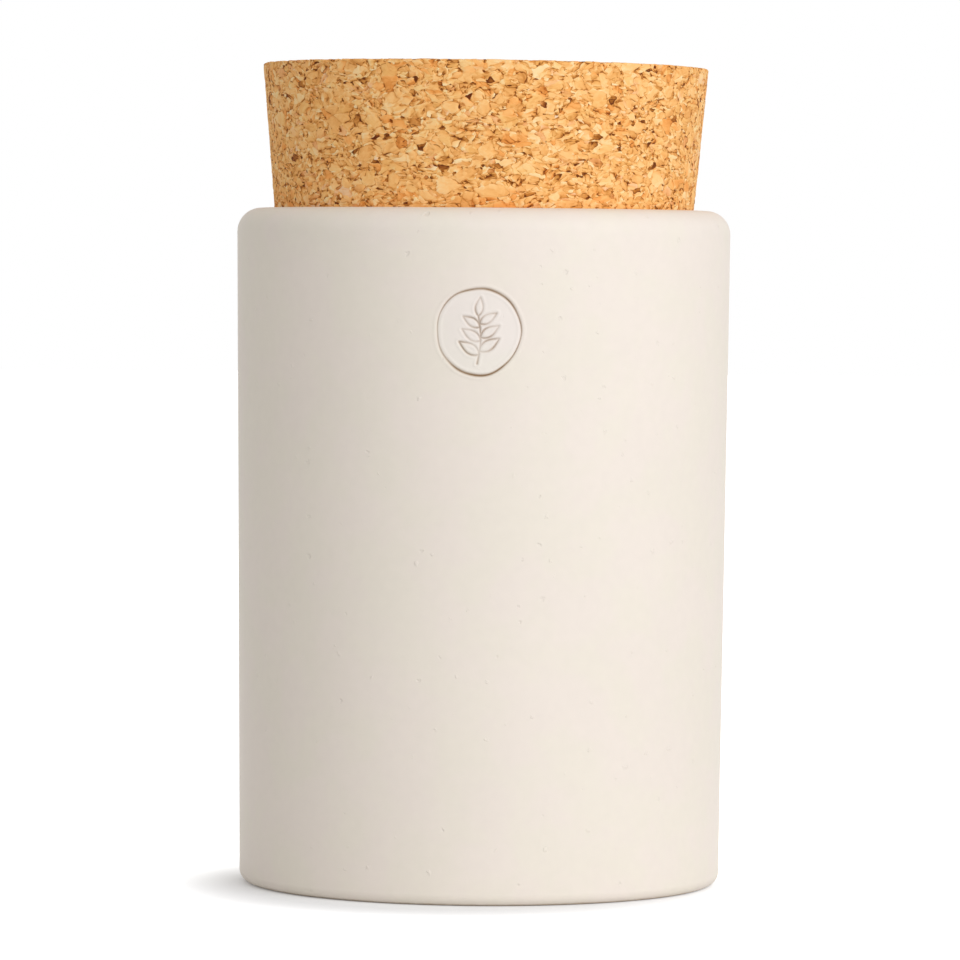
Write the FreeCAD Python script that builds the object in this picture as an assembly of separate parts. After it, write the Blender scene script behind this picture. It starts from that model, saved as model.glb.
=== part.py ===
# Stoneware spice jar with a tapered cork stopper.
#
# Millimetres, +Z up. The origin is the centre of the plane that the jar stands on, and the
# front faces -Y. There are two separate pieces: the hollow jar, and the solid stopper that is
# pushed into its mouth until its side meets the rounded inner edge of the rim.
import FreeCAD, Part
import math
import os

from FreeCAD import Vector

# Jar: a thick-walled stoneware cup whose side widens very slightly towards the rim.
BODY_DIAMETER = 75.0  # outside, where the side's line meets the rim plane
FOOT_DIAMETER = 73.0  # outside, where the side's line meets the foot plane
RIM_HEIGHT = 102.3  # foot plane to the flat top of the rim
WALL_THICKNESS = 5.65  # measured level, the same from the mouth to the floor
FLOOR_THICKNESS = 6.0  # between the foot recess and the inside floor
SHOULDER_RADIUS = 3.6  # round of the rim's outer edge
LIP_RADIUS = 1.2  # round of the rim's inner edge, on which the stopper seats
FLOOR_CORNER_RADIUS = 7.0  # inside, where the wall runs into the floor
FOOT_EDGE_RADIUS = 1.8  # round between the side and the foot ring
FOOT_RING_WIDTH = 5.0  # from the foot diameter in to the recess
FOOT_RING_BEVEL = 0.4  # bevel of the ring's inner edge
FOOT_RECESS_DEPTH = 1.0  # how far the middle of the underside stands clear

# Stopper: a disc of pressed cork granules with a straight taper and a sharp upper edge.
STOPPER_RISE = 21.7  # rim plane to the top of the stopper
PLUG_DEPTH = 12.5  # rim plane to the bottom of the plug
STOPPER_TAPER = 5.1  # degrees of each side from the axis
STOPPER_LEAN = 0.38  # degrees that the stopper sits askew, its top towards +X
SEAT_CLEARANCE = 0.05  # between the stopper's side and the lip's round
STOPPER_BEVEL = 0.25  # bevel of the upper edge, which stays crisp
PLUG_BEVEL = 0.8  # bevel of the plug's lower edge

# The largest share of the rim's width that its two rounds may take.
ROUND_SHARE = 0.95
# How closely an edge's radius and height have to match to be picked.
PICK_TOLERANCE = 1e-6


def revolved(points):
    """Turn a closed half section, given as (radius, height) corners, into a solid."""
    corners = [Vector(radius, 0.0, height) for radius, height in points]
    outline = Part.makePolygon(corners + corners[:1])
    return Part.Face(outline).revolve(Vector(0, 0, 0), Vector(0, 0, 1), 360)


def circle_at(solid, radius, height):
    """List the circular edge of a revolved solid with this radius and height."""
    return [
        edge
        for edge in solid.Edges
        if isinstance(edge.Curve, Part.Circle)
        and abs(edge.Curve.Radius - radius) < PICK_TOLERANCE
        and abs(edge.Curve.Center.z - height) < PICK_TOLERANCE
    ]


def rounded(solid, corners):
    """Round the circular edges at the given (radius, height, round) corners."""
    for radius, height, size in corners:
        solid = solid.makeFillet(size, circle_at(solid, radius, height))
    return solid


def bevelled(solid, corners):
    """Bevel the circular edges at the given (radius, height, bevel) corners."""
    for radius, height, size in corners:
        solid = solid.makeChamfer(size, circle_at(solid, radius, height))
    return solid


def rim_rounds():
    """Radii of the rim's outer and inner rounds, scaled down where they would meet."""
    scale = min(1.0, ROUND_SHARE * WALL_THICKNESS / (SHOULDER_RADIUS + LIP_RADIUS))
    return SHOULDER_RADIUS * scale, LIP_RADIUS * scale


def side_slope():
    """How much the jar's side moves outward for each millimetre of height."""
    return (BODY_DIAMETER - FOOT_DIAMETER) / 2 / RIM_HEIGHT


def inner_radius(height):
    """Inside radius at a height: the inside runs parallel to the straight outside."""
    return FOOT_DIAMETER / 2 + side_slope() * height - WALL_THICKNESS


def plug_slope():
    """How much the stopper's side moves outward for each millimetre of height."""
    return math.tan(math.radians(STOPPER_TAPER))


def seat_radius():
    """Radius of the stopper in the rim plane, where it has come to rest in the mouth.

    A stopper that narrows faster than the jar meets the round of the lip. Otherwise the
    lower edge of its plug meets the wall first, on the side it leans away from.
    """
    lip = rim_rounds()[1]
    taper = math.radians(STOPPER_TAPER)
    lip_centre = inner_radius(RIM_HEIGHT - lip) + lip * math.hypot(1.0, side_slope())
    on_lip = lip_centre + lip * plug_slope() - (lip + SEAT_CLEARANCE) / math.cos(taper)
    sideways = PLUG_DEPTH * math.sin(math.radians(STOPPER_LEAN))
    plug_room = inner_radius(RIM_HEIGHT - PLUG_DEPTH) - SEAT_CLEARANCE - sideways
    on_wall = plug_room + plug_slope() * PLUG_DEPTH
    return min(on_lip, on_wall)


def build_jar():
    """The hollow jar: one revolved wall and floor, with its corners softened."""
    floor_height = FOOT_RECESS_DEPTH + FLOOR_THICKNESS
    recess_radius = FOOT_DIAMETER / 2 - FOOT_RING_WIDTH
    mouth_radius = inner_radius(RIM_HEIGHT)
    floor_radius = inner_radius(floor_height)
    shoulder, lip = rim_rounds()
    jar = revolved([
        (0.0, FOOT_RECESS_DEPTH),
        (recess_radius, FOOT_RECESS_DEPTH),
        (recess_radius, 0.0),
        (FOOT_DIAMETER / 2, 0.0),
        (BODY_DIAMETER / 2, RIM_HEIGHT),
        (mouth_radius, RIM_HEIGHT),
        (floor_radius, floor_height),
        (0.0, floor_height),
    ])
    jar = rounded(jar, [
        (BODY_DIAMETER / 2, RIM_HEIGHT, shoulder),
        (mouth_radius, RIM_HEIGHT, lip),
        (floor_radius, floor_height, FLOOR_CORNER_RADIUS),
        (FOOT_DIAMETER / 2, 0.0, FOOT_EDGE_RADIUS),
    ])
    return bevelled(jar, [(recess_radius, 0.0, FOOT_RING_BEVEL)])


def build_stopper():
    """The cork: made upright about the rim plane, then leaned and set in the mouth."""
    top_radius = seat_radius() + plug_slope() * STOPPER_RISE
    plug_radius = seat_radius() - plug_slope() * PLUG_DEPTH
    stopper = revolved([
        (0.0, -PLUG_DEPTH),
        (plug_radius, -PLUG_DEPTH),
        (top_radius, STOPPER_RISE),
        (0.0, STOPPER_RISE),
    ])
    stopper = bevelled(stopper, [
        (top_radius, STOPPER_RISE, STOPPER_BEVEL),
        (plug_radius, -PLUG_DEPTH, PLUG_BEVEL),
    ])
    stopper.rotate(Vector(0, 0, 0), Vector(0, 1, 0), STOPPER_LEAN)
    stopper.translate(Vector(0, 0, RIM_HEIGHT))
    return stopper


def main():
    """Write one STEP file for each piece."""
    os.makedirs("parts", exist_ok=True)
    pieces = {"jar": build_jar(), "stopper": build_stopper()}
    for name, shape in pieces.items():
        shape.exportStep(f"parts/{name}.step")


main()
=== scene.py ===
"""Stoneware spice jar with a cork stopper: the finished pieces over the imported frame.

Sizes in the classes are millimetres, as a potter would give them, and are turned into the
frame's metres when a mesh is made.
"""
import logging
import math
from collections.abc import Sequence
from dataclasses import dataclass, field
from enum import Enum
from typing import Any, NamedTuple

import bmesh
import bpy
import numpy as np
from mathutils import Matrix, Vector


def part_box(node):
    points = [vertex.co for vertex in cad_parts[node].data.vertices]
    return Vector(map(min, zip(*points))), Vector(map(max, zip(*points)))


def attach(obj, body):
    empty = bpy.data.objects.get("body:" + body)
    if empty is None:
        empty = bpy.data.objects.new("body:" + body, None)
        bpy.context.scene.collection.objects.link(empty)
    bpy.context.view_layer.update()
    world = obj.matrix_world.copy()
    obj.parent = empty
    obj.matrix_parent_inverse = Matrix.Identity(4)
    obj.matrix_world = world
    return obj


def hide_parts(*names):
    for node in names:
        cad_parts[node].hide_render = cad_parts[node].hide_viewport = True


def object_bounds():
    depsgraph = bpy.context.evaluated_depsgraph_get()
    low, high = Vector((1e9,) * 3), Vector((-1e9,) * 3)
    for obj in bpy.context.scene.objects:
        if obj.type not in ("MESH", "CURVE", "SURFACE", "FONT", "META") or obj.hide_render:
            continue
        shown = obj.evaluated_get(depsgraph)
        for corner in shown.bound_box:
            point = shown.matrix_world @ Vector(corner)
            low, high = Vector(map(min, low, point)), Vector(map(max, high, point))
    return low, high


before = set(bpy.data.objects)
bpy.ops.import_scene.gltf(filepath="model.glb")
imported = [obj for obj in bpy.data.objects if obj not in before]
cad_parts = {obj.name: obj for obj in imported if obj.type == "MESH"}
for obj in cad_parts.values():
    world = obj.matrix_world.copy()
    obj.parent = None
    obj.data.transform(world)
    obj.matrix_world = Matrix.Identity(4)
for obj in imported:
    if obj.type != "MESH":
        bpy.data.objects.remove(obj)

LOG = logging.getLogger("spice_jar")
MM = 0.001
PER_METRE = 1.0 / MM
CAD_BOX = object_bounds()

WHITE = (1.0, 1.0, 1.0, 1.0)
# What a length is at least where something is divided by it.
TINY = 1e-9

Colour = tuple[float, float, float]
Tint = tuple[int, int, int]
# A wave round a circle: its size, how often it comes in a turn, and its start in radians.
Wave = tuple[float, int, Any]


class Slot(str, Enum):
    """Names of two material slots, for the glaze and the cork."""

    GLAZE = "glaze"
    CORK = "cork"


def linear(red: int, green: int, blue: int) -> tuple[float, float, float, float]:
    """Turn a display colour into the linear colour that a shader takes, by the sRGB curve.

    Args:
        red: Red, from 0 to 255.
        green: Green, from 0 to 255.
        blue: Blue, from 0 to 255.

    Returns:
        The linear colour, with an alpha of 1.
    """
    parts = [channel / 255 for channel in (red, green, blue)]
    curved = [p / 12.92 if p <= 0.04045 else ((p + 0.055) / 1.055) ** 2.4 for p in parts]
    return curved[0], curved[1], curved[2], 1.0


# ---------------------------------------------------------------------------------------
# Node trees
# ---------------------------------------------------------------------------------------


class Value:
    """A number that a socket carries. Python's operators on it add Math nodes."""

    def __init__(self, graph: "Graph", socket: bpy.types.NodeSocket) -> None:
        """Wrap a socket of a graph."""
        self.graph = graph
        self.socket = socket

    def __add__(self, other: "Value | float") -> "Value":
        """The sum."""
        return self.graph.maths("ADD", self, other)

    def __sub__(self, other: "Value | float") -> "Value":
        """The difference."""
        return self.graph.maths("SUBTRACT", self, other)

    def __rsub__(self, other: "Value | float") -> "Value":
        """The difference from a plain number."""
        return self.graph.maths("SUBTRACT", other, self)

    def __mul__(self, other: "Value | float") -> "Value":
        """The product."""
        return self.graph.maths("MULTIPLY", self, other)

    def __gt__(self, other: "Value | float") -> "Value":
        """1 where this is more than the other, else 0."""
        return self.graph.maths("GREATER_THAN", self, other)

    def __pow__(self, other: "Value | float") -> "Value":
        """The power."""
        return self.graph.maths("POWER", self, other)

    __radd__ = __add__
    __rmul__ = __mul__

    def least(self, other: "Value | float") -> "Value":
        """The smaller of this and the other."""
        return self.graph.maths("MINIMUM", self, other)

    def most(self, other: "Value | float") -> "Value":
        """The larger of this and the other."""
        return self.graph.maths("MAXIMUM", self, other)

    def blend(self, low: "Value | float", high: "Value | float") -> "Value":
        """Go from low to high as this goes from 0 to 1."""
        return low + (high - low) * self if isinstance(low, Value) else self * (high - low) + low

    def rise(self, start: "Value | float", end: "Value | float") -> "Value":
        """Rise smoothly from 0 at start to 1 at end.

        Args:
            start: Where the rise begins.
            end: Where the rise is complete.

        Returns:
            The smooth step.
        """
        node = self.graph.add(
            "ShaderNodeMapRange",
            {"interpolation_type": "SMOOTHSTEP"},
            {"Value": self, "From Min": start, "From Max": end},
        )
        return Value(self.graph, node.outputs[0])


class Graph:
    """Adds nodes to one tree, of a material or of Geometry Nodes."""

    def __init__(self, tree: bpy.types.NodeTree) -> None:
        """Work on a tree."""
        self.tree = tree

    def add(
        self,
        kind: str,
        settings: dict[str, Any] | None = None,
        inputs: dict[str | int, Any] | None = None,
    ) -> bpy.types.Node:
        """Add any node.

        Args:
            kind: The node's type.
            settings: Its settings, set first. "stops" holds a colour ramp's stops.
            inputs: Values or links of its sockets, by name or number.

        Returns:
            The new node.
        """
        node = self.tree.nodes.new(kind)
        for name, setting in (settings or {}).items():
            if name == "stops":
                self._fill_ramp(node.color_ramp, setting)
            else:
                setattr(node, name, setting)
        for key, value in (inputs or {}).items():
            self.feed(node.inputs[key], value)
        return node

    def feed(self, socket: bpy.types.NodeSocket, value: Any) -> None:
        """Link a value or a socket to an input, or set the input's own number.

        Args:
            socket: The input.
            value: A Value, a socket, or what the input itself holds.
        """
        if isinstance(value, Value):
            self.tree.links.new(value.socket, socket)
        elif isinstance(value, bpy.types.NodeSocket):
            self.tree.links.new(value, socket)
        else:
            socket.default_value = value

    def maths(self, operation: str, first: Any, second: Any) -> Value:
        """Add a Math node of two inputs."""
        node = self.add("ShaderNodeMath", {"operation": operation}, {0: first, 1: second})
        return Value(self, node.outputs[0])

    def vector(self, operation: str, first: Any, second: Any) -> bpy.types.NodeSocket:
        """Add a Vector Math node of two inputs."""
        node = self.add("ShaderNodeVectorMath", {"operation": operation}, {0: first, 1: second})
        return node.outputs[0]

    def dot(self, first: Any, second: Any) -> Value:
        """The dot product of two vectors."""
        node = self.add("ShaderNodeVectorMath", {"operation": "DOT_PRODUCT"}, {0: first, 1: second})
        return Value(self, node.outputs["Value"])

    def parts(self, vector: Any) -> tuple[Value, Value, Value]:
        """Split a vector or a colour into its three numbers."""
        x, y, z = self.add("ShaderNodeSeparateXYZ", None, {0: vector}).outputs
        return Value(self, x), Value(self, y), Value(self, z)

    def noise(self, place: Any, scale: float, detail: float = 2.0) -> tuple[Value, Any]:
        """Add a noise.

        Args:
            place: Where it is read.
            scale: Bumps for each unit of place.
            detail: How many finer layers it has.

        Returns:
            Its level from 0 to 1, and its colour.
        """
        inputs = {"Vector": place, "Scale": scale, "Detail": detail}
        node = self.add("ShaderNodeTexNoise", None, inputs)
        return Value(self, node.outputs[0]), node.outputs[1]

    def cells(self, place: Any, scale: float, feature: str = "F1") -> bpy.types.Node:
        """Add a Voronoi texture of the given feature."""
        inputs = {"Vector": place, "Scale": scale}
        return self.add("ShaderNodeTexVoronoi", {"feature": feature}, inputs)

    def mix(self, factor: Any, low: Any, high: Any, how: str = "MIX") -> bpy.types.NodeSocket:
        """Mix two colours.

        Args:
            factor: How much of the second is used.
            low: The first colour.
            high: The second colour.
            how: The way they are mixed.

        Returns:
            The mixed colour.
        """
        # A Mix node has sockets for each type of data: inputs 6 and 7 and output 2 are colours.
        settings = {"data_type": "RGBA", "blend_type": how}
        return self.add("ShaderNodeMix", settings, {0: factor, 6: low, 7: high}).outputs[2]

    def grey(self, level: Value) -> bpy.types.NodeSocket:
        """Make a grey colour of a number, to tint a colour with."""
        return self.add("ShaderNodeCombineXYZ", None, {0: level, 1: level, 2: level}).outputs[0]

    @staticmethod
    def _fill_ramp(ramp: bpy.types.ColorRamp, stops: Sequence[tuple[float, Any]]) -> None:
        """Give a colour ramp its stops.

        Args:
            ramp: The ramp.
            stops: Each stop's position and colour.
        """
        while len(ramp.elements) < len(stops):
            ramp.elements.new(1.0)
        for element, (position, colour) in zip(ramp.elements, stops):
            element.position = position
            element.color = colour


def blank_material(name: str) -> tuple[bpy.types.Material, Graph]:
    """Make a material whose tree is empty.

    Args:
        name: The material's name.

    Returns:
        The material, and its tree to add nodes to.
    """
    made = bpy.data.materials.new(name)
    made.use_nodes = True
    made.node_tree.nodes.clear()
    return made, Graph(made.node_tree)


def add_object(name: str, data: Any) -> bpy.types.Object:
    """Put a mesh, lamp or camera in the scene.

    Args:
        name: The object's name.
        data: What it shows.

    Returns:
        The object, at the origin.
    """
    made = bpy.data.objects.new(name, data)
    bpy.context.scene.collection.objects.link(made)
    return made


def stand_for(piece: bpy.types.Object, node: str) -> bpy.types.Object:
    """Make an object the piece that stands for a node of the frame.

    Args:
        piece: The object, with its final mesh.
        node: The node it stands for.

    Returns:
        The same object.
    """
    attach(piece, "root")
    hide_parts(node)
    return piece


# ---------------------------------------------------------------------------------------
# Pressed cork
# ---------------------------------------------------------------------------------------


@dataclass(frozen=True)
class Granules:
    """What the granule pattern gives at a point."""

    tone: Value
    level: Value
    hue: Value
    tilt: Value
    distance: Value
    gap: Value
    hole: Value
    place: Any


class Face(NamedTuple):
    """What is drawn for the cut face of one granule."""

    tone: Value
    level: Value
    hue: Value
    tilt: Value


class Layer(NamedTuple):
    """What one size of granule gives at a point: how it splits, and how far its edge is."""

    face: Face
    split: Value
    edge: Value


@dataclass(frozen=True)
class GranuleField:
    """Cork granules pressed into a block: nested flattened cells of three sizes.

    The same field shapes the surface and colours it, so that cracks and holes agree.
    Sizes are millimetres. A bend is its turns for each millimetre and how far it reaches.
    """

    sizes: tuple[float, float, float] = (2.8, 1.6, 0.95)
    split_large: float = 0.13
    split_middle: float = 0.50
    crumple: float = 0.8
    darkest_large: float = 0.06
    shuffle: float = 7.3
    flattening: float = 1.55
    slow_bend: tuple[float, float] = (0.22, 1.9)
    ragged_bend: tuple[float, float] = (1.15, 0.26)
    gap_scale: float = 1.1
    gap_rise: tuple[float, float] = (0.5, 0.68)
    hole_bend: tuple[float, float] = (2.3, 0.3)
    hole_spacing: float = 1.9
    hole_radius: float = 0.5
    hole_rarity: float = 3.0
    hole_rim: float = 0.06
    hole_reach: tuple[float, float] = (0.16, 0.34)

    def build(self, graph: Graph, position: bpy.types.NodeSocket) -> Granules:
        """Add the field to a tree.

        Args:
            graph: The tree, of a material or of Geometry Nodes.
            position: Where the field is read, in metres.

        Returns:
            The pattern at that place.
        """
        scale = (PER_METRE, PER_METRE, PER_METRE * self.flattening)
        place = graph.vector("MULTIPLY", position, scale)
        place = self._wander(graph, place, *self.slow_bend)
        place = self._wander(graph, place, *self.ragged_bend)
        large, middle, small = (self._layer(graph, place, size) for size in self.sizes)
        in_middle = large.split > self.split_large
        in_small = (middle.split > self.split_middle) * in_middle
        large_face = large.face._replace(tone=large.face.tone.most(self.darkest_large))
        tone, level, hue, tilt = (
            in_small.blend(in_middle.blend(one, two), three)
            for one, two, three in zip(large_face, middle.face, small.face)
        )
        tilt = tilt + small.face.tilt * self.crumple
        away = self.sizes[0]
        distance = large.edge.least(middle.edge + (1 - in_middle) * away)
        distance = distance.least(small.edge + (1 - in_small) * away)
        gap = graph.noise(place, self.gap_scale, 1.0)[0].rise(*self.gap_rise)
        hole = self._holes(graph, place, distance)
        return Granules(tone, level, hue, tilt, distance, gap, hole, place)

    def _wander(self, graph: Graph, place: Any, scale: float, reach: float) -> Any:
        """Shift places by a noise, so that straight cell edges bend.

        Args:
            graph: The tree.
            place: The places.
            scale: Turns for each millimetre.
            reach: How far they shift, in millimetres.

        Returns:
            The shifted places.
        """
        shift = graph.vector("SUBTRACT", graph.noise(place, scale)[1], (0.5, 0.5, 0.5))
        shift = graph.vector("MULTIPLY", shift, (2 * reach, 2 * reach, 2 * reach))
        return graph.vector("ADD", place, shift)

    def _layer(self, graph: Graph, place: Any, size: float) -> Layer:
        """Add one size of granule.

        Args:
            graph: The tree.
            place: Where it is read, in millimetres.
            size: The distance between granules.

        Returns:
            The granule at that place.
        """
        cells = graph.cells(place, 1 / size)
        drawn = graph.parts(cells.outputs["Color"])
        lean = graph.vector("SUBTRACT", cells.outputs["Color"], (0.5, 0.5, 0.5))
        inside = graph.vector("SUBTRACT", place, cells.outputs["Position"])
        tilt = graph.dot(lean, inside) * (1 / size)
        edge = graph.cells(place, 1 / size, "DISTANCE_TO_EDGE").outputs["Distance"]
        mixed = graph.maths("FRACT", (drawn[0] + drawn[1]) * self.shuffle, 0.0)
        face = Face(tone=drawn[1], level=drawn[2], hue=mixed, tilt=tilt)
        return Layer(face, split=drawn[0], edge=Value(graph, edge) * size)

    def _holes(self, graph: Graph, place: Any, distance: Value) -> Value:
        """Small open holes, where granules meet and here and there.

        Args:
            graph: The tree.
            place: Where they are read, in millimetres.
            distance: The distance to the nearest granule's edge.

        Returns:
            1 in a hole and 0 outside.
        """
        place = self._wander(graph, place, *self.hole_bend)
        cells = graph.cells(place, 1 / self.hole_spacing)
        drawn = graph.parts(cells.outputs["Color"])[0]
        radius = (drawn ** self.hole_rarity) * self.hole_radius
        away = Value(graph, cells.outputs["Distance"]) * self.hole_spacing
        inside = 1 - (away - radius).rise(-self.hole_rim, self.hole_rim)
        return inside * (1 - distance.rise(*self.hole_reach))


@dataclass(frozen=True)
class CorkFinish:
    """Pressed cork: granules of many straw and brown tints, with painted shade in the cracks.

    Each tint is a place on one scale from bark brown to cream. "drawn" turns an evenly drawn
    number into such a place, and a field that starts with "by_" says how far one cause moves
    it. "casts" tint whole granules a little. A "_scale" is a noise's bumps for each
    millimetre, and a "_relief" is a height in millimetres.
    """

    granules: GranuleField = GranuleField()
    scale: tuple[tuple[float, Tint], ...] = (
        (0.00, (104, 48, 10)),
        (0.10, (150, 85, 26)),
        (0.25, (200, 128, 56)),
        (0.40, (232, 163, 88)),
        (0.50, (247, 183, 108)),
        (0.60, (254, 198, 127)),
        (0.75, (255, 214, 153)),
        (0.90, (255, 223, 168)),
        (1.00, (255, 227, 176)),
    )
    drawn: tuple[tuple[float, float], ...] = (
        (0.00, 0.12),
        (0.03, 0.26),
        (0.05, 0.44),
        (0.25, 0.51),
        (0.75, 0.60),
        (0.93, 0.68),
        (1.00, 0.82),
    )
    casts: tuple[tuple[float, Tint], ...] = (
        (0.00, (250, 242, 255)),
        (0.04, (250, 246, 252)),
        (0.10, (255, 253, 250)),
        (0.50, (255, 255, 255)),
        (0.80, (253, 254, 246)),
        (0.89, (255, 251, 244)),
        (0.93, (255, 238, 220)),
        (1.00, (252, 230, 204)),
    )
    # These two paint light and shade: a tilted granule, and most of all its edge, lighter on one side
    # and darker on the other.
    by_painted_facet_shade: float = 0.21
    by_painted_edge_light: float = 0.34
    by_grain: float = 0.22
    by_patch: float = 0.10
    # The next two paint shade: open cracks and holes are made darker.
    by_crack_shade: tuple[float, float] = (0.05, 0.36)
    by_hole_shade: float = 0.45
    hue_by_patch: float = 0.9
    grain_scale: float = 1.9
    patch_scale: float = 0.35
    hue_scale: float = 0.21
    crack_from: float = 0.02
    crack_width: tuple[float, float] = (0.07, 0.14)
    painted_edge_light_width: float = 0.3
    grain_relief: float = 0.04
    tilt_relief: float = 0.12
    crack_relief: float = 0.12
    hole_relief: float = 0.3
    bump_strength: float = 0.3
    roughness: float = 0.85
    specular: float = 0.22

    def material(self) -> bpy.types.Material:
        """Make the material.

        Returns:
            The material, on Object coordinates.
        """
        made, graph = blank_material("pressed_cork")
        seen = self.granules.build(graph, graph.add("ShaderNodeTexCoord").outputs["Object"])
        crack = 1 - seen.distance.rise(self.crack_from, seen.gap.blend(*self.crack_width))
        grain = graph.noise(seen.place, self.grain_scale, 4.0)[0] - 0.5
        height = grain * self.grain_relief + seen.tilt * self.tilt_relief
        height = height - crack * self.crack_relief - seen.hole * self.hole_relief
        bump = graph.add(
            "ShaderNodeBump", None, {"Height": height, "Distance": MM, "Strength": self.bump_strength}
        )
        surface = graph.add(
            "ShaderNodeBsdfPrincipled",
            None,
            {
                "Base Color": self._colour(graph, seen, crack, grain),
                "Roughness": self.roughness,
                "Specular IOR Level": self.specular,
                "Normal": bump.outputs[0],
            },
        )
        graph.add("ShaderNodeOutputMaterial", None, {"Surface": surface.outputs[0]})
        return made

    def _colour(self, graph: Graph, seen: Granules, crack: Value, grain: Value) -> Any:
        """Colour the granules, with painted shading on their tilted faces and edges, and painted
        shade in their cracks and holes.

        Args:
            graph: The material's tree.
            seen: The granule pattern.
            crack: 1 in a crack and 0 clear of it.
            grain: Fine unevenness about 0.

        Returns:
            The colour.
        """
        patch = graph.noise(seen.place, self.patch_scale, 1.0)[0] - 0.5
        hue_patch = graph.noise(seen.place, self.hue_scale, 2.0)[0] - 0.5
        edge = 1 - seen.distance.rise(0.0, self.painted_edge_light_width)
        tone = self._drawn_tone(graph, seen.tone)
        # Painted shading: a granule's tilt, and more strongly near its edge, makes it lighter on one
        # side and darker on the other, as light would.
        tone = tone + seen.tilt * self.by_painted_facet_shade + edge * seen.tilt * self.by_painted_edge_light
        tone = tone + grain * self.by_grain + patch * self.by_patch
        # Painted shade: open cracks and holes are made darker, besides being sunk by the bump and the
        # mesh.
        tone = tone - crack * seen.gap.blend(*self.by_crack_shade) - seen.hole * self.by_hole_shade
        tint = self._ramp(graph, tone, self.scale)
        cast = self._ramp(graph, seen.hue + hue_patch * self.hue_by_patch, self.casts)
        return graph.mix(1.0, tint, cast, "MULTIPLY")

    def _drawn_tone(self, graph: Graph, drawn: Value) -> Value:
        """Turn an evenly drawn number into a granule's place on the scale.

        Args:
            graph: The material's tree.
            drawn: The number, from 0 to 1.

        Returns:
            The place.
        """
        stops = [(position, (tone, tone, tone, 1.0)) for position, tone in self.drawn]
        ramp = graph.add("ShaderNodeValToRGB", {"stops": stops}, {0: drawn})
        return graph.parts(ramp.outputs[0])[0]

    def _ramp(self, graph: Graph, drawn: Value, stops: Sequence[tuple[float, Any]]) -> Any:
        """Pick a colour from stops by a number."""
        settings = {"stops": [(position, linear(*tint)) for position, tint in stops]}
        return graph.add("ShaderNodeValToRGB", settings, {0: drawn}).outputs[0]


class CutSurface:
    """A Geometry Nodes tree that sinks the cracks, holes and low granules of cut cork."""

    proudest: float = 1.3

    def __init__(self, granules: GranuleField) -> None:
        """Build the tree for a granule field.

        Args:
            granules: The field that says where granules, cracks and holes are.
        """
        self.tree = bpy.data.node_groups.new("cut_cork_surface", "GeometryNodeTree")
        self._sockets: dict[str, str] = {}
        self._interface()
        self._nodes(granules)

    def _interface(self) -> None:
        panel = self.tree.interface
        panel.new_socket("Geometry", in_out="OUTPUT", socket_type="NodeSocketGeometry")
        kinds = {
            "Geometry": "NodeSocketGeometry",
            "Granule step": "NodeSocketFloat",
            "Crack depth": "NodeSocketFloat",
            "Crack width": "NodeSocketFloat",
            "Hole depth": "NodeSocketFloat",
            "Material": "NodeSocketMaterial",
        }
        for name, kind in kinds.items():
            socket = panel.new_socket(name, in_out="INPUT", socket_type=kind)
            self._sockets[name] = socket.identifier

    def _nodes(self, granules: GranuleField) -> None:
        """Add the nodes.

        Args:
            granules: The field that says where granules, cracks and holes are.
        """
        graph = Graph(self.tree)
        given = graph.add("NodeGroupInput").outputs
        step, crack_depth, crack_width, hole_depth = (
            Value(graph, given[name])
            for name in ("Granule step", "Crack depth", "Crack width", "Hole depth")
        )
        seen = granules.build(graph, graph.add("GeometryNodeInputPosition").outputs[0])
        crack = (1 - seen.distance.rise(0.0, crack_width)) * seen.gap
        sunk = (self.proudest - seen.level - seen.tilt) * step + crack * crack_depth
        sunk = sunk.most(seen.hole * hole_depth)
        inward = graph.add(
            "ShaderNodeVectorMath",
            {"operation": "SCALE"},
            {0: graph.add("GeometryNodeInputNormal").outputs[0], "Scale": sunk * -MM},
        )
        moved = graph.add(
            "GeometryNodeSetPosition",
            None,
            {"Geometry": given["Geometry"], "Offset": inward.outputs[0]},
        )
        real = graph.add("GeometryNodeRealizeInstances", None, {0: moved.outputs[0]})
        dressed = graph.add(
            "GeometryNodeSetMaterial",
            None,
            {"Geometry": real.outputs[0], "Material": given["Material"]},
        )
        graph.add("NodeGroupOutput", None, {0: dressed.outputs[0]})

    def apply(self, piece: bpy.types.Object, inputs: dict[str, Any]) -> None:
        """Run the tree on a piece and keep the result as its plain mesh.

        Args:
            piece: The piece.
            inputs: The tree's inputs, by name.
        """
        modifier = piece.modifiers.new("cut", "NODES")
        modifier.node_group = self.tree
        for name, value in inputs.items():
            modifier[self._sockets[name]] = value
        bpy.context.view_layer.update()
        shaped = piece.evaluated_get(bpy.context.evaluated_depsgraph_get())
        mesh = bpy.data.meshes.new_from_object(shaped)
        piece.modifiers.clear()
        piece.data = mesh
        mesh.name = piece.name


# ---------------------------------------------------------------------------------------
# Meshes of rings
# ---------------------------------------------------------------------------------------


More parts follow.
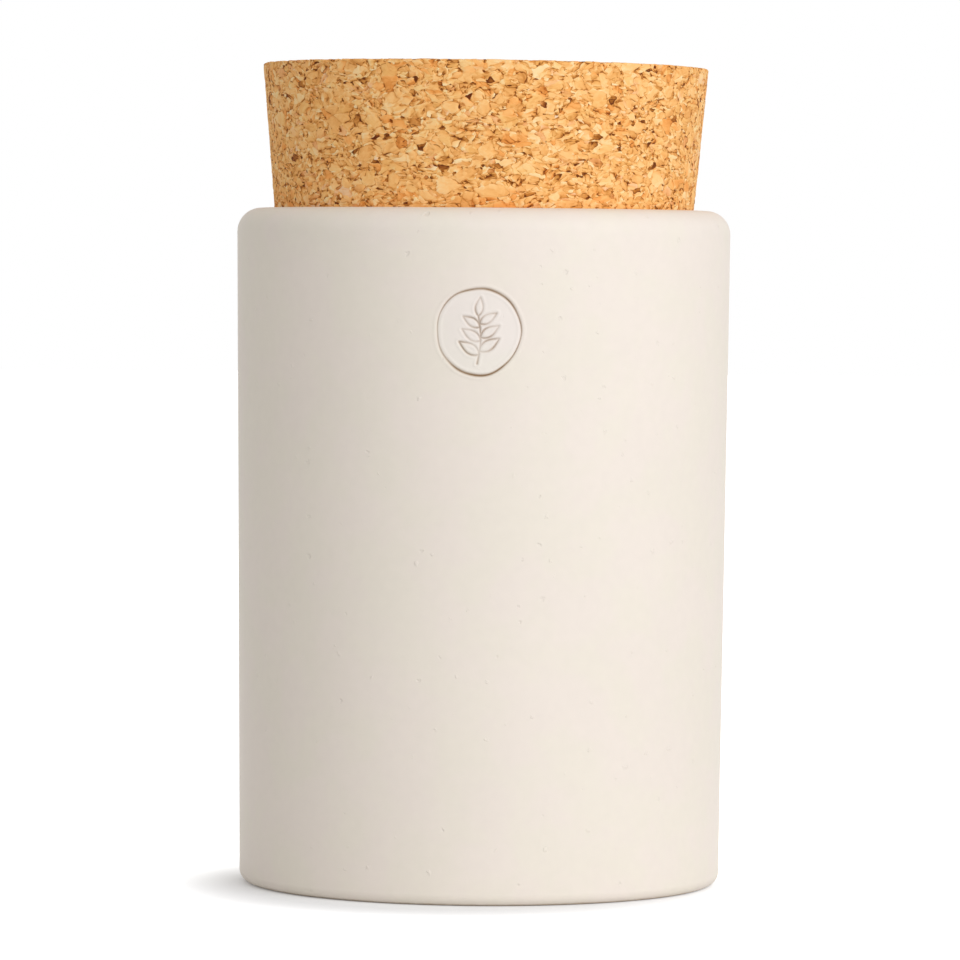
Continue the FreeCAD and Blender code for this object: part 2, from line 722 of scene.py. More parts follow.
@dataclass
class RingMesh:
    """Points and faces of a round piece, made ring by ring."""

    points: list[tuple[float, float, float]] = field(default_factory=list)
    faces: list[tuple[int, ...]] = field(default_factory=list)

    def ring(self, radius: float, height: float, angles: Sequence[float]) -> list[int]:
        """Add a ring of points.

        Args:
            radius: The ring's radius.
            height: Its height.
            angles: The points' angles in radians, rising.

        Returns:
            The points' numbers.
        """
        first = len(self.points)
        self.points += [(radius * math.cos(a), radius * math.sin(a), height) for a in angles]
        return list(range(first, len(self.points)))

    def even_ring(self, radius: float, height: float, count: int) -> list[int]:
        """Add a ring of evenly spaced points."""
        return self.ring(radius, height, [math.tau * i / count for i in range(count)])

    def join(self, first: list[int], second: list[int]) -> None:
        """Fill between two rings, with triangles where their counts differ.

        Args:
            first: One ring's points.
            second: The next ring's points.
        """
        many, few = len(first), len(second)
        if many == few:
            for i in range(many):
                j = (i + 1) % many
                self.faces.append((first[i], first[j], second[j], second[i]))
            return
        i = j = 0
        while i < many or j < few:
            if j >= few or (i < many and (i + 1) * few <= (j + 1) * many):
                self.faces.append((first[i % many], first[(i + 1) % many], second[j % few]))
                i += 1
            else:
                self.faces.append((first[i % many], second[(j + 1) % few], second[j % few]))
                j += 1

    def cap(self, ring: list[int], height: float) -> None:
        """Close a ring with a fan to its middle.

        Args:
            ring: The ring's points.
            height: The middle's height.
        """
        middle = len(self.points)
        self.points.append((0.0, 0.0, height))
        for i, point in enumerate(ring):
            self.faces.append((point, ring[(i + 1) % len(ring)], middle))

    def fill_inwards(self, outermost: list[int], rows: Sequence[tuple[float, float, int]]) -> None:
        """Fill from a ring to its middle, with rings that need not have its count.

        Args:
            outermost: The ring that is there.
            rows: The radius, height and count of each further ring, going in.
        """
        previous = outermost
        for radius, height, count in rows:
            ring = self.even_ring(radius, height, count)
            self.join(previous, ring)
            previous = ring
        self.cap(previous, rows[-1][1])

    def mesh(self, name: str, place: Matrix) -> bpy.types.Mesh:
        """Make a mesh in metres with its faces outwards and smooth.

        Args:
            name: The mesh's name.
            place: What sets the millimetre points in their place.

        Returns:
            The mesh.
        """
        made = bpy.data.meshes.new(name)
        made.from_pydata([place @ Vector(p) * MM for p in self.points], [], self.faces)
        shape = bmesh.new()
        shape.from_mesh(made)
        bmesh.ops.recalc_face_normals(shape, faces=shape.faces)
        for face in shape.faces:
            face.smooth = True
        shape.to_mesh(made)
        shape.free()
        return made


@dataclass
class Stopper:
    """The tapered cork, as wide and as high as the frame's.

    Sizes are millimetres and angles degrees. The part that the jar hides has fewer rings.
    """

    lean: float = 0.38
    taper: float = 5.1
    plug_depth: float = 12.5
    bevel: float = 0.25
    plug_bevel: float = 0.8
    grid: float = 0.28
    top_grid: float = 0.42
    fewest_around: int = 6
    shown_below_rim: float = 2.0
    hidden_depths: tuple[float, float] = (4.5, 8.0)
    hidden_around: int = 180
    under_rings: tuple[tuple[float, int], ...] = ((0.6, 60), (0.25, 24))
    granule_step: float = 0.07
    crack_depth: float = 0.16
    crack_width: float = 0.34
    hole_depth: float = 0.34
    finish: CorkFinish = CorkFinish()

    @property
    def slope(self) -> float:
        """How much the side moves outward for each millimetre of height."""
        return math.tan(math.radians(self.taper))

    def outline(self) -> tuple[float, float, float]:
        """Read the stopper's size from the frame.

        Returns:
            The rim's height and the stopper's top radius and rise, in millimetres.
        """
        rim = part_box("jar")[1].z / MM
        low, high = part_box("stopper")
        lean = math.radians(self.lean)
        top_radius = (high.y - low.y) / 2 / MM + self.slope * self.bevel
        rise = ((high.z / MM - rim) - (top_radius - self.bevel) * math.sin(lean)) / math.cos(lean)
        return rim, top_radius, rise

    def build(self) -> bpy.types.Object:
        """Make the stopper's mesh, cut its surface and dress it.

        Returns:
            The piece.
        """
        rim, top_radius, rise = self.outline()
        shape = RingMesh()
        around = round(math.tau * top_radius / self.grid)
        fine_low = -self.shown_below_rim
        rows = round((rise - self.bevel - fine_low) / self.grid)
        previous = self._top(shape, top_radius - self.bevel, rise, around)
        for row in range(rows + 1):
            height = rise - self.bevel + (fine_low - rise + self.bevel) * row / rows
            ring = shape.even_ring(top_radius + self.slope * (height - rise), height, around)
            shape.join(previous, ring)
            previous = ring
        self._plug(shape, previous, top_radius - self.slope * rise)
        place = Matrix.Translation((0, 0, rim)) @ Matrix.Rotation(math.radians(self.lean), 4, "Y")
        piece = add_object("cork_stopper", shape.mesh("cork_stopper", place))
        CutSurface(self.finish.granules).apply(piece, {
            "Granule step": self.granule_step,
            "Crack depth": self.crack_depth,
            "Crack width": self.crack_width,
            "Hole depth": self.hole_depth,
            "Material": self.finish.material(),
        })
        return stand_for(piece, "stopper")

    def _top(self, shape: RingMesh, radius: float, height: float, around: int) -> list[int]:
        """Fill the flat top with rings that thin out towards the middle.

        Args:
            shape: The mesh under construction.
            radius: The flat top's radius.
            height: Its height above the rim.
            around: How many points the outermost ring has.

        Returns:
            The outermost ring.
        """
        outermost = shape.even_ring(radius, height, around)
        steps = round(radius / self.top_grid)
        inner = [radius * step / steps for step in range(steps - 1, 0, -1)]
        counts = [max(self.fewest_around, round(math.tau * r / self.top_grid)) for r in inner]
        shape.fill_inwards(outermost, [(r, height, count) for r, count in zip(inner, counts)])
        return outermost

    def _plug(self, shape: RingMesh, above: list[int], rim_radius: float) -> None:
        """Add the coarser plug, which the jar hides.

        Args:
            shape: The mesh under construction.
            above: The ring that the plug hangs from.
            rim_radius: The stopper's radius in the rim plane.
        """
        low = -self.plug_depth
        plug_radius = rim_radius + self.slope * low
        heights = [-depth for depth in self.hidden_depths] + [low + self.plug_bevel]
        rows = [(rim_radius + self.slope * h, h, self.hidden_around) for h in heights]
        rows.append((plug_radius - self.plug_bevel, low, self.hidden_around))
        rows += [(plug_radius * share, low, count) for share, count in self.under_rings]
        shape.fill_inwards(above, rows)


# ---------------------------------------------------------------------------------------
# Glazed stoneware
# ---------------------------------------------------------------------------------------


@dataclass(frozen=True)
class GlazeFinish:
    """Satin off-white glaze over a buff body that is bare where the jar stands.

    Sizes and heights are millimetres. A "_scale" is a noise's bumps for each millimetre, and
    a "_relief" is a height.
    """

    glaze: Tint = (239, 230, 218)
    stamped: Tint = (242, 236, 230)
    # Colour of the pressed lines: pooled glaze, and painted shade for the grooves' depth.
    pooled_and_shade: Tint = (146, 112, 72)
    clay: Tint = (222, 205, 184)
    straw_cast: Tint = (254, 254, 251)
    pink_cast: Tint = (255, 253, 253)
    stamped_share: float = 0.45
    cloud_scale: float = 0.045
    grain_scale: float = 0.6
    blush_scale: float = 0.13
    blush_rise: tuple[float, float] = (0.36, 0.64)
    shade: tuple[float, float] = (0.975, 1.02)
    swell_scale: float = 0.07
    swell_relief: float = 0.05
    grain_relief: float = 0.008
    pip_spacing: float = 2.9
    pip_bend_scale: float = 1.9
    pip_radius: tuple[float, float] = (-0.1, 0.36)
    pip_rim: float = 0.16
    pip_relief: float = 0.07
    pip_shade: float = 0.02
    pinhole_share: float = 0.4
    bare_rise: tuple[float, float] = (0.3, 0.6)
    bare_raggedness: float = 0.4
    roughness: float = 0.5
    bare_roughness: float = 0.9
    grain_roughness: float = 0.05
    specular: float = 0.15
    pooling_and_shade: str = "pooled_and_shade"
    paling: str = "disc"

    def material(self) -> bpy.types.Material:
        """Make the material.

        Returns:
            The material, on Object coordinates and the seal's two attributes.
        """
        made, graph = blank_material("satin_glaze")
        where = graph.add("ShaderNodeTexCoord").outputs["Object"]
        place = graph.vector("MULTIPLY", where, (PER_METRE, PER_METRE, PER_METRE))
        height = graph.parts(place)[2]
        grain = graph.noise(place, self.grain_scale, 3.0)[0]
        pip = self._pips(graph, place)
        bare = 1 - (height + grain * self.bare_raggedness).rise(*self.bare_rise)
        swell = graph.noise(place, self.swell_scale, 1.0)[0]
        relief = swell * self.swell_relief + grain * self.grain_relief + pip * self.pip_relief
        bump = graph.add("ShaderNodeBump", None, {"Height": relief, "Distance": MM})
        roughness = bare.blend(self.roughness, self.bare_roughness) + grain * self.grain_roughness
        colour = self._glaze_colour(graph, place, grain, pip)
        surface = graph.add(
            "ShaderNodeBsdfPrincipled",
            None,
            {
                "Base Color": graph.mix(bare, colour, linear(*self.clay)),
                "Roughness": roughness,
                "Specular IOR Level": self.specular,
                "Normal": bump.outputs[0],
            },
        )
        graph.add("ShaderNodeOutputMaterial", None, {"Surface": surface.outputs[0]})
        return made

    def _glaze_colour(self, graph: Graph, place: Any, grain: Value, pip: Value) -> Any:
        """Colour the glaze, paler in the seal and darker in its pressed lines, as pooled glaze and
        painted shade.

        Args:
            graph: The material's tree.
            place: Where it is read, in millimetres.
            grain: Fine unevenness from 0 to 1.
            pip: The pips and pinholes.

        Returns:
            The colour.
        """
        pooled_and_shade, disc = (
            Value(graph, graph.add("ShaderNodeAttribute", {"attribute_name": name}).outputs["Fac"])
            for name in (self.pooling_and_shade, self.paling)
        )
        cloud = graph.noise(place, self.cloud_scale, 3.0)[0]
        blush = graph.noise(place, self.blush_scale, 3.0)[0].rise(*self.blush_rise)
        shade = cloud.blend(*self.shade) * grain.blend(*self.shade) * (pip * self.pip_shade + 1.0)
        stamped = linear(*self.stamped)
        colour = graph.mix(disc * self.stamped_share, linear(*self.glaze), stamped)
        colour = graph.mix(1.0, colour, graph.grey(shade), "MULTIPLY")
        cast = graph.mix(blush, linear(*self.straw_cast), linear(*self.pink_cast))
        colour = graph.mix(1.0, colour, cast, "MULTIPLY")
        # Pooled glaze and painted shade darken the pressed lines.
        return graph.mix(pooled_and_shade, colour, linear(*self.pooled_and_shade))

    def _pips(self, graph: Graph, place: Any) -> Value:
        """Small pips and pinholes that the glaze leaves as it cools.

        Args:
            graph: The material's tree.
            place: Where they are read, in millimetres.

        Returns:
            Up to 1 on a pip, down to -1 in a pinhole, and 0 elsewhere.
        """
        bent = graph.vector("ADD", place, graph.noise(place, self.pip_bend_scale)[1])
        cells = graph.cells(bent, 1 / self.pip_spacing)
        drawn = graph.parts(cells.outputs["Color"])
        away = Value(graph, cells.outputs["Distance"]) * self.pip_spacing
        pip = 1 - (away - drawn[1].blend(*self.pip_radius)).rise(-self.pip_rim, self.pip_rim)
        return pip * ((drawn[0] > self.pinhole_share) * 2.0 - 1.0)


def waves(bearing: Any, parts: Sequence[Wave]) -> Any:
    """Add up waves at a bearing, in radians."""
    return sum(size * np.sin(turns * bearing + start) for size, turns, start in parts)


@dataclass(frozen=True)
class Sprig:
    """The lines of a sprig of herb: a stem, leaves in pairs, and one leaf at the tip.

    Places are millimetres across and up from the seal's middle, and angles are degrees.
    """

    stem: tuple[float, float] = (-4.7, 2.3)
    stem_points: int = 15
    sway: float = 0.45
    sway_rate: float = 0.42
    sway_from: float = -4.6
    shift: float = -0.2
    leaf_pairs: int = 3
    lowest_leaf: float = -3.1
    leaf_step: float = 2.0
    leaf_stagger: float = 0.25
    leaf_spread: float = 58.0
    leaf_length: float = 3.5
    leaf_shrink: float = 0.3
    leaf_width: float = 0.21
    leaf_belly: float = 0.8
    leaf_points: int = 12
    tip_heading: float = 84.0
    tip_length: float = 2.7

    def lines(self) -> list[np.ndarray]:
        """Draw the sprig.

        Returns:
            The points of each line.
        """
        rise = np.linspace(*self.stem, self.stem_points)
        drawn = [np.stack([self._across(rise), rise], axis=1)]
        for pair in range(self.leaf_pairs):
            up = self.lowest_leaf + self.leaf_step * pair
            for side in (-1, 1):
                start = np.array([self._across(up), up + self.leaf_stagger * side])
                length = self.leaf_length - self.leaf_shrink * pair
                drawn.append(self._leaf(start, 90 - self.leaf_spread * side, length))
        tip = np.array([self._across(self.stem[1]), self.stem[1]])
        return drawn + [self._leaf(tip, self.tip_heading, self.tip_length)]

    def _across(self, up: Any) -> Any:
        """How far across the stem is at a height."""
        return self.sway * np.sin((up - self.sway_from) * self.sway_rate) + self.shift

    def _leaf(self, start: np.ndarray, heading: float, length: float) -> np.ndarray:
        """Draw a pointed leaf's outline.

        Args:
            start: Where the leaf leaves the stem.
            heading: Its direction, in degrees from straight across.
            length: Its length.

        Returns:
            The points of the closed outline.
        """
        out = np.linspace(0, 1, self.leaf_points)
        along = np.concatenate([out, out[::-1]])
        half = self.leaf_width * length * np.sin(np.pi * along ** self.leaf_belly)
        half[self.leaf_points:] *= -1
        forward = np.array([math.cos(math.radians(heading)), math.sin(math.radians(heading))])
        sideways = np.array([-forward[1], forward[0]])
        return start + np.outer(along * length, forward) + np.outer(half, sideways)


@dataclass(frozen=True)
class PressedSeal:
    """A round stamp pressed into the soft clay: a ring about a sprig of herb.

    Places on it are millimetres across the wall and up from the seal's middle. A burr is
    its height, how far it stands from the line, and how wide it is. The strokes are firmer
    in patches, which follow a wave of so many radians a millimetre across and up, and a
    start in radians.
    """

    height: float = 84.2
    across: float = -0.65
    ring_radius: float = 6.33
    narrowing: float = 0.98
    wobble: tuple[Wave, ...] = ((0.08, 3, 0.4), (0.05, 5, 2.0), (0.025, 9, 1.1))
    ring_width: float = 0.125
    ring_swell: Wave = (0.35, 2, math.pi / 2 - 2.6)
    ring_depth: float = 0.34
    ring_burr: tuple[float, float, float] = (0.08, 0.48, 0.2)
    ring_pooling_and_shade: float = 1.1
    pooling_and_shade_power: float = 0.6
    firmness: float = 0.64
    firm_waves: tuple[Wave, ...] = (
        (0.2, 2, -math.pi / 2),
        (0.16, 1, math.pi / 2 + 0.5),
        (0.08, 3, 0.0),
        (0.06, 11, 0.0),
    )
    least_firm: float = 0.34
    stroke_width: float = 0.13
    stroke_depth: float = 0.22
    stroke_burr: tuple[float, float, float] = (0.055, 0.4, 0.18)
    stroke_pooling_and_shade: float = 0.68
    stroke_firmness: tuple[float, float] = (0.72, 0.28)
    stroke_patches: tuple[float, float, float] = (1.3, 0.9, 0.6)
    line_profile: float = 1.7
    sunk: float = 0.07
    disc_rim: float = 0.1
    reach: float = 7.6
    fade: float = 0.6
    sprig: Sprig = Sprig()

    def press(self, across: np.ndarray, up: np.ndarray) -> dict[str, np.ndarray]:
        """Say how the stamp marks the clay.

        Args:
            across: Places across the wall from the seal's middle.
            up: Places up the wall from the seal's middle.

        Returns:
            The relief in millimetres, and the shares from 0 to 1 by which the lines are darker, as
            pooled glaze and painted shade, and by which the stamped disc is paler.
        """
        bearing = np.arctan2(up, across)
        from_middle = np.hypot(across / self.narrowing, up) - waves(bearing, self.wobble)
        ring = from_middle - self.ring_radius
        firm = np.clip(self.firmness + waves(bearing, self.firm_waves), self.least_firm, 1.0)
        ring_line = self._groove(ring, self.ring_width * (1 + waves(bearing, [self.ring_swell])))
        stroke = self._nearest_stroke(across, up)
        even, patchy = self.stroke_firmness
        rate_across, rate_up, start = self.stroke_patches
        stroke_firm = even + patchy * np.sin(rate_across * across + rate_up * up + start)
        stroke_mark = self._groove(stroke, self.stroke_width) * stroke_firm
        disc = 1 / (1 + np.exp(ring / self.disc_rim))
        relief = self._burr(ring, *self.ring_burr) * firm
        relief += self._burr(stroke, *self.stroke_burr) * stroke_firm
        relief -= self.sunk * disc + self.ring_depth * ring_line * firm
        relief -= self.stroke_depth * stroke_mark
        # The lines are darkened as pooled glaze and as painted shade for their depth, more where the
        # press was firmer.
        pooled_and_shade = self.ring_pooling_and_shade * ring_line * firm ** self.pooling_and_shade_power
        pooled_and_shade = np.clip(pooled_and_shade + self.stroke_pooling_and_shade * stroke_mark, 0, 1)
        edge = np.clip((self.reach - from_middle) / self.fade, 0, 1)
        return {"relief": relief * edge, "pooled_and_shade": pooled_and_shade, "disc": disc}

    def _groove(self, away: np.ndarray, width: Any) -> np.ndarray:
        """The profile of a pressed line: 1 along its middle, and 0 clear of it."""
        return np.exp(-np.abs(away / width) ** self.line_profile)

    def _burr(self, away: np.ndarray, height: float, at: float, width: float) -> np.ndarray:
        """The clay that a line pushes up beside it."""
        return height * np.exp(-(((np.abs(away) - at) / width) ** 2))

    def _nearest_stroke(self, across: np.ndarray, up: np.ndarray) -> np.ndarray:
        """Measure how far places are from the sprig's nearest line.

        Args:
            across: Places across the wall from the seal's middle.
            up: Places up the wall from the seal's middle.

        Returns:
            The distances.
        """
        places = np.stack([across, up], axis=-1)
        nearest = np.full(across.shape, np.inf)
        for line in self.sprig.lines():
            for start, end in zip(line[:-1], line[1:]):
                run = end - start
                share = np.clip((places - start) @ run / max(run @ run, TINY), 0, 1)
                gap = places - start - share[..., None] * run
                nearest = np.minimum(nearest, np.hypot(gap[..., 0], gap[..., 1]))
        return nearest


@dataclass
class JarBody:
    """The hollow jar, with the same section as the frame's.

    Sizes are millimetres and coarse_turn is degrees. A swell is a wave round the wall, and
    the rise over which it turns by one radian.
    """

    narrowing: float = 1.0
    wall: float = 5.65
    floor: float = 6.0
    shoulder: float = 3.6
    lip: float = 1.2
    floor_corner: float = 7.0
    foot_edge: float = 1.8
    ring_width: float = 5.0
    recess: float = 1.0
    recess_corner: float = 0.3
    ring_edge: float = 0.4
    small_round: float = 1.0
    round_steps: tuple[int, int] = (4, 10)
    unevenness: float = 0.05
    swells: tuple[tuple[Wave, float], ...] = (((1.0, 2, 0.7), 41.0), ((0.6, 3, -1.9), -23.0))
    even_from: float = 110.0
    even_fade: float = 12.0
    grid: float = 0.085
    coarse_turn: float = 2.4
    coarse_step: float = 3.2
    seal: PressedSeal = PressedSeal()
    finish: GlazeFinish = GlazeFinish()

    def corners(self) -> list[tuple[float, float, float]]:
        """List the half section's corners, from the underside's middle round to the inside's.

        Returns:
            The radius, height and round of each.
        """
        low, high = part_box("jar")
        rim = high.z / MM
        slope = self.narrowing / rim
        top = (high.x - low.x) / 2 / MM + slope * self.shoulder
        foot = top - self.narrowing
        inside = self.recess + self.floor
        recess_radius = foot - self.ring_width
        return [
            (0.0, self.recess, 0.0),
            (recess_radius, self.recess, self.recess_corner),
            (recess_radius, 0.0, self.ring_edge),
            (foot, 0.0, self.foot_edge),
            (top, rim, self.shoulder),
            (top - self.wall, rim, self.lip),
            (foot + slope * inside - self.wall, inside, self.floor_corner),
            (0.0, inside, 0.0),
        ]

    def section(self) -> list[tuple[float, float]]:
        """Sample the rounded section, finely beside the seal.

        Returns:
            Points as radius and height, in the corners' order.
        """
        corners = self.corners()
        at = [np.array(corner[:2]) for corner in corners]
        rows = [corners[0][:2]]
        for i in range(1, len(corners) - 1):
            arc = self._arc(at[i - 1], at[i], at[i + 1], corners[i][2])
            rows += self._run(rows[-1], arc[0])
            rows += arc
        rows += self._run(rows[-1], corners[-1][:2])
        return rows

    def _arc(
        self, before: np.ndarray, at: np.ndarray, after: np.ndarray, size: float
    ) -> list[tuple[float, float]]:
        """Sample the round of one corner.

        Args:
            before: The corner before it.
            at: The corner.
            after: The corner after it.
            size: The round's radius.

        Returns:
            Points from one tangent point to the other.
        """
        back = (before - at) / np.linalg.norm(before - at)
        on = (after - at) / np.linalg.norm(after - at)
        half = math.acos(float(np.clip(back @ on, -1, 1))) / 2
        bisector = (back + on) / np.linalg.norm(back + on)
        centre = at + bisector * size / math.sin(half)
        first = at + back * size / math.tan(half) - centre
        last = at + on * size / math.tan(half) - centre
        turn = math.atan2(first[0] * last[1] - first[1] * last[0], first @ last)
        steps = self.round_steps[0 if size < self.small_round else 1]
        angles = np.linspace(0, turn, steps + 1)
        return [
            (
                centre[0] + first[0] * math.cos(a) - first[1] * math.sin(a),
                centre[1] + first[0] * math.sin(a) + first[1] * math.cos(a),
            )
            for a in angles
        ]

    def _run(self, start: Sequence[float], end: Sequence[float]) -> list[tuple[float, float]]:
        """Sample a straight run of the section between two points, without either.

        Args:
            start: Where the run starts, as radius and height.
            end: Where it ends.

        Returns:
            The points between.
        """
        rise = end[1] - start[1]
        marks = [0.0, 1.0]
        steps = [self.coarse_step]
        if rise > self.seal.height / 2:
            below = self.seal.height - self.seal.reach - start[1]
            marks[1:1] = [below / rise, (below + 2 * self.seal.reach) / rise]
            steps += [self.grid, self.coarse_step]
        length = math.dist(start, end)
        shares: list[float] = []
        for low, high, step in zip(marks, marks[1:], steps):
            count = max(1, round((high - low) * length / step))
            shares += [low + (high - low) * i / count for i in range(count)]
        return [
            (start[0] + (end[0] - start[0]) * s, start[1] + (end[1] - start[1]) * s)
            for s in shares[1:]
        ]

    def angles(self, radius: float) -> list[float]:
        """List the columns' angles, closer together across the seal.

        Args:
            radius: The wall's outside radius, in millimetres.

        Returns:
            Rising angles in radians, from the seal's left edge round to it again.
        """
        first = (self.seal.across - self.seal.reach) / radius - math.pi / 2
        width = 2 * self.seal.reach / radius
        rest = math.tau - width
        fine = round(2 * self.seal.reach / self.grid)
        coarse = round(math.degrees(rest) / self.coarse_turn)
        across_seal = [first + width * i / fine for i in range(fine)]
        return across_seal + [first + width + rest * i / coarse for i in range(coarse)]

    def build(self) -> bpy.types.Object:
        """Make the jar's mesh, press its seal and dress it.

        Returns:
            The piece.
        """
        radius = max(corner[0] for corner in self.corners())
        rows = self.section()
        angles = self.angles(radius)
        shape = RingMesh()
        rings = [shape.ring(r, z, angles) for r, z in rows[1:-1]]
        for lower, upper in zip(rings, rings[1:]):
            shape.join(lower, upper)
        shape.cap(rings[0], rows[0][1])
        shape.cap(rings[-1], rows[-1][1])
        mesh = shape.mesh("stoneware_jar", Matrix.Identity(4))
        self._shape_wall(mesh, radius)
        mesh.materials.append(self.finish.material())
        return stand_for(add_object("stoneware_jar", mesh), "jar")

    def _shape_wall(self, mesh: bpy.types.Mesh, radius: float) -> None:
        """Press the seal into the wall and give the wall a hand's unevenness.

        Args:
            mesh: The jar's mesh.
            radius: The wall's outside radius at the rim.
        """
        flat = np.empty(len(mesh.vertices) * 3)
        mesh.vertices.foreach_get("co", flat)
        places = flat.reshape(-1, 3) / MM
        reach = np.hypot(places[:, 0], places[:, 1])
        bearing = np.arctan2(places[:, 1], places[:, 0])
        height = places[:, 2]
        outside = reach > radius - self.wall / 2
        across = (bearing + math.pi / 2) * radius - self.seal.across
        up = height - self.seal.height
        near = outside & (np.hypot(across, up) < self.seal.reach)
        marks = self.seal.press(across[near], up[near])
        moved = np.where(outside, self._unevenness(bearing, height), 0.0)
        moved[near] += marks["relief"]
        places[:, :2] *= ((reach + moved) / np.maximum(reach, TINY))[:, None]
        mesh.vertices.foreach_set("co", (places * MM).ravel())
        for name in (self.finish.pooling_and_shade, self.finish.paling):
            share = np.zeros(len(places))
            share[near] = marks[name]
            mesh.attributes.new(name, "FLOAT", "POINT").data.foreach_set("value", share)
        mesh.update()

    def _unevenness(self, bearing: np.ndarray, height: np.ndarray) -> np.ndarray:
        """Say how far the hand-made wall stands out from a true round.

        Args:
            bearing: Angles round the jar, in radians.
            height: Heights above the foot.

        Returns:
            The distances, which are never more than 0.
        """
        parts = [(size, turns, start + height / rise) for (size, turns, start), rise in self.swells]
        largest = sum(part[0] for part in parts)
        swell = (waves(bearing, parts) - largest) / (2 * largest)
        foot_fade = np.clip(height / self.even_fade, 0, 1)
        rim_fade = np.clip((self.even_from - height) / self.even_fade, 0, 1)
        return self.unevenness * swell * foot_fade * rim_fade


# ---------------------------------------------------------------------------------------
# Studio
# ---------------------------------------------------------------------------------------


@dataclass(frozen=True)
class ViewPoint:
    """Where the camera stands, in metres and degrees, and its lens in millimetres."""

    distance: float = 0.8810
    height: float = 0.0945
    look_down: float = 2.167
    swing: float = -0.019
    roll: float = 0.45
    lens: float = 217.16
    sensor: float = 36.0
    clip: tuple[float, float] = (0.05, 50.0)

    def build(self) -> None:
        """Make the camera and set it as the scene's own."""
        made = bpy.data.cameras.new("camera")
        made.lens = self.lens
        made.sensor_width = self.sensor
        made.clip_start, made.clip_end = self.clip
        camera = add_object("camera", made)
        turn = Matrix.Rotation(math.radians(-self.swing), 4, "Z")
        tip = Matrix.Rotation(math.radians(90 - self.look_down), 4, "X")
        roll = Matrix.Rotation(math.radians(self.roll), 4, "Z")
        stand = Matrix.Translation((0, -self.distance, self.height))
        camera.matrix_world = stand @ turn @ tip @ roll
        bpy.context.scene.camera = camera


@dataclass(frozen=True)
class SoftBox:
    """A square lamp turned to the jar: watts, metres, and degrees from the front."""

    name: str
    power: float
    size: float
    distance: float
    bearing: float
    elevation: float
    colour: Colour = (0.985, 1.0, 1.05)

    def build(self, middle: Vector) -> None:
        """Make the lamp and turn it to the jar.

        Args:
            middle: What it points at.
        """
        made = bpy.data.lights.new(self.name, "AREA")
        made.shape = "SQUARE"
        made.size = self.size
        made.energy = self.power
        made.color = self.colour
        lamp = add_object(self.name, made)
        bearing, elevation = math.radians(self.bearing), math.radians(self.elevation)
        towards = Vector((
            math.sin(bearing) * math.cos(elevation),
            -math.cos(bearing) * math.cos(elevation),
            math.sin(elevation),
        ))
        lamp.location = middle + towards * self.distance
        lamp.rotation_euler = towards.to_track_quat("Z", "Y").to_euler()


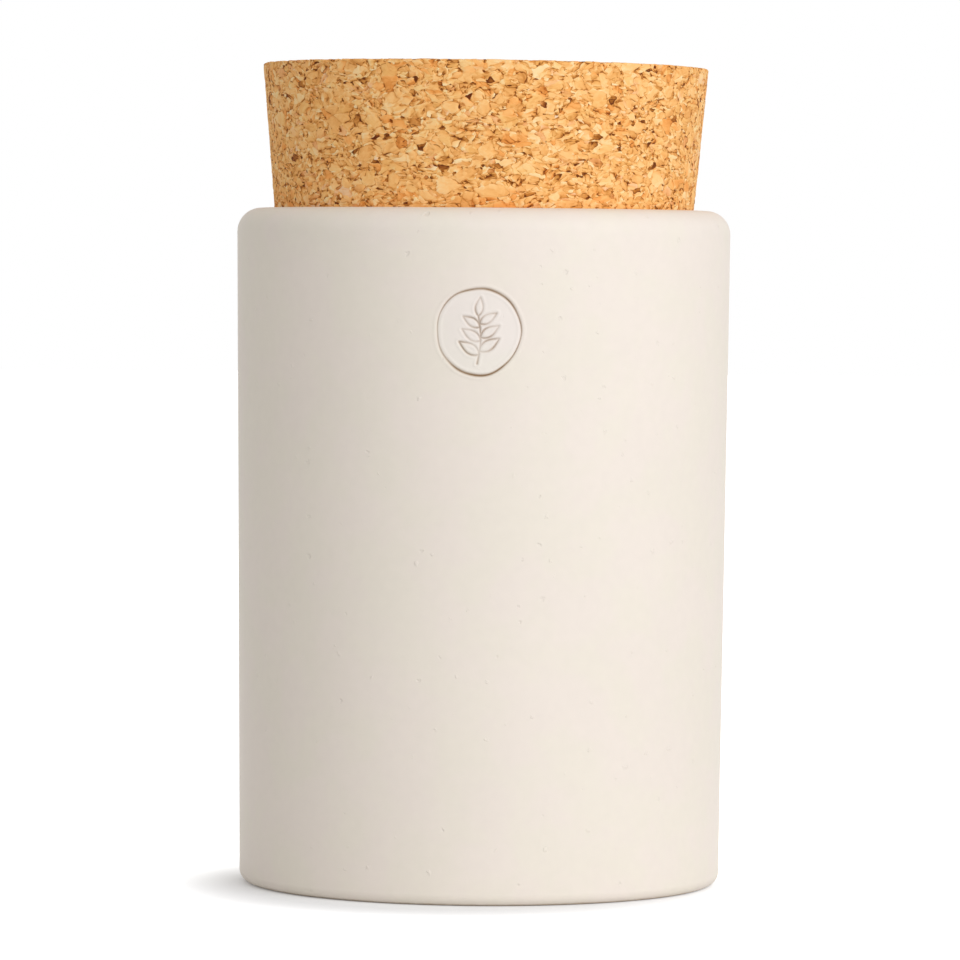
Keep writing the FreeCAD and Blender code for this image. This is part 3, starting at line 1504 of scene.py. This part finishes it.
@dataclass(frozen=True)
class Studio:
    """A plain white table in soft light from the front and the right.

    Sizes are metres. Where the table is looked at, it glows by lift_far and is plain white.
    Near the jar it glows only by lift_in_painted_shadow, which paints a shadow of the jar over
    its real shadow. The two radii of painted_shadow_radii, about painted_shadow_centre a little
    in front of and left of the jar's middle, are where one gives way to the other.
    """

    floor_radii: tuple[float, ...] = (4.0, 1.0, 0.3, 0.1)
    floor_points: int = 96
    floor_level: float = 0.82
    lift_in_painted_shadow: float = 0.14
    lift_far: float = 1.0
    painted_shadow_radii: tuple[float, float] = (0.029, 0.056)
    painted_shadow_centre: tuple[float, float] = (-0.004, -0.0098)
    surround: float = 0.56
    lamps: tuple[SoftBox, ...] = (
        SoftBox("key", power=9.75, size=1.1, distance=1.3, bearing=37.2, elevation=22.0),
    )

    def build(self) -> None:
        """Make the floor, the surround and the lamps."""
        self._floor()
        self._world()
        for lamp in self.lamps:
            lamp.build((CAD_BOX[0] + CAD_BOX[1]) / 2)

    def _seen_directly(self, graph: Graph) -> Value:
        """Tell rays that show the background itself from those that it lights with.

        Args:
            graph: The tree of the table's or the surround's look.

        Returns:
            1 on rays that show it, else 0.
        """
        rays = graph.add("ShaderNodeLightPath").outputs
        camera, glossy, through = (
            Value(graph, rays[name])
            for name in ("Is Camera Ray", "Is Glossy Ray", "Is Transmission Ray")
        )
        return camera.most(glossy).most(through)

    def _floor(self) -> None:
        """Make the table, which keeps the jar's shadow with a painted shadow near it, and is plain
        white further away.
        """
        shape = RingMesh()
        rows = [(radius, 0.0, self.floor_points) for radius in self.floor_radii]
        shape.fill_inwards(shape.even_ring(*rows[0]), rows[1:])
        mesh = shape.mesh("table", Matrix.Scale(PER_METRE, 4))
        mesh.materials.append(self._table_look())
        add_object("table", mesh)

    def _table_look(self) -> bpy.types.Material:
        """Make the table's material.

        Returns:
            The material, on Object coordinates.
        """
        made, graph = blank_material("white_table")
        level = self.floor_level
        plain = graph.add("ShaderNodeBsdfDiffuse", None, {"Color": (level, level, level, 1.0)})
        where = graph.parts(graph.add("ShaderNodeTexCoord").outputs["Object"])
        # Painted shadow: the glow is weakest within a ring about a point a little in front of and
        # left of the jar's middle, so the table is darker there.
        sideways, forward = (where[i] - self.painted_shadow_centre[i] for i in range(2))
        away = (sideways * sideways + forward * forward) ** 0.5
        lift_with_painted_shadow = away.rise(*self.painted_shadow_radii).blend(self.lift_in_painted_shadow, self.lift_far)
        glow_level = graph.grey(self._seen_directly(graph) * lift_with_painted_shadow)
        glow = graph.add("ShaderNodeEmission", None, {"Color": glow_level})
        both = graph.add("ShaderNodeAddShader", None, {0: plain.outputs[0], 1: glow.outputs[0]})
        graph.add("ShaderNodeOutputMaterial", None, {"Surface": both.outputs[0]})
        return made

    def _world(self) -> None:
        """Make an even surround that looks plain white."""
        world = bpy.data.worlds.new("surround")
        world.use_nodes = True
        world.node_tree.nodes.clear()
        graph = Graph(world.node_tree)
        strength = self._seen_directly(graph).blend(self.surround, 1.0)
        sky = graph.add("ShaderNodeBackground", None, {"Color": WHITE, "Strength": strength})
        graph.add("ShaderNodeOutputWorld", None, {"Surface": sky.outputs[0]})
        bpy.context.scene.world = world


def main() -> None:
    """Build the studio and each piece in order."""
    logging.basicConfig(level=logging.INFO, format="%(name)s: %(message)s")
    scene = bpy.context.scene
    scene.view_settings.view_transform = "Standard"
    ViewPoint().build()
    Studio().build()
    for maker in (JarBody(), Stopper()):
        piece = maker.build()
        triangles = sum(len(face.vertices) - 2 for face in piece.data.polygons)
        LOG.info("%s: %d triangles", piece.name, triangles)


if __name__ == "__main__":
    main()
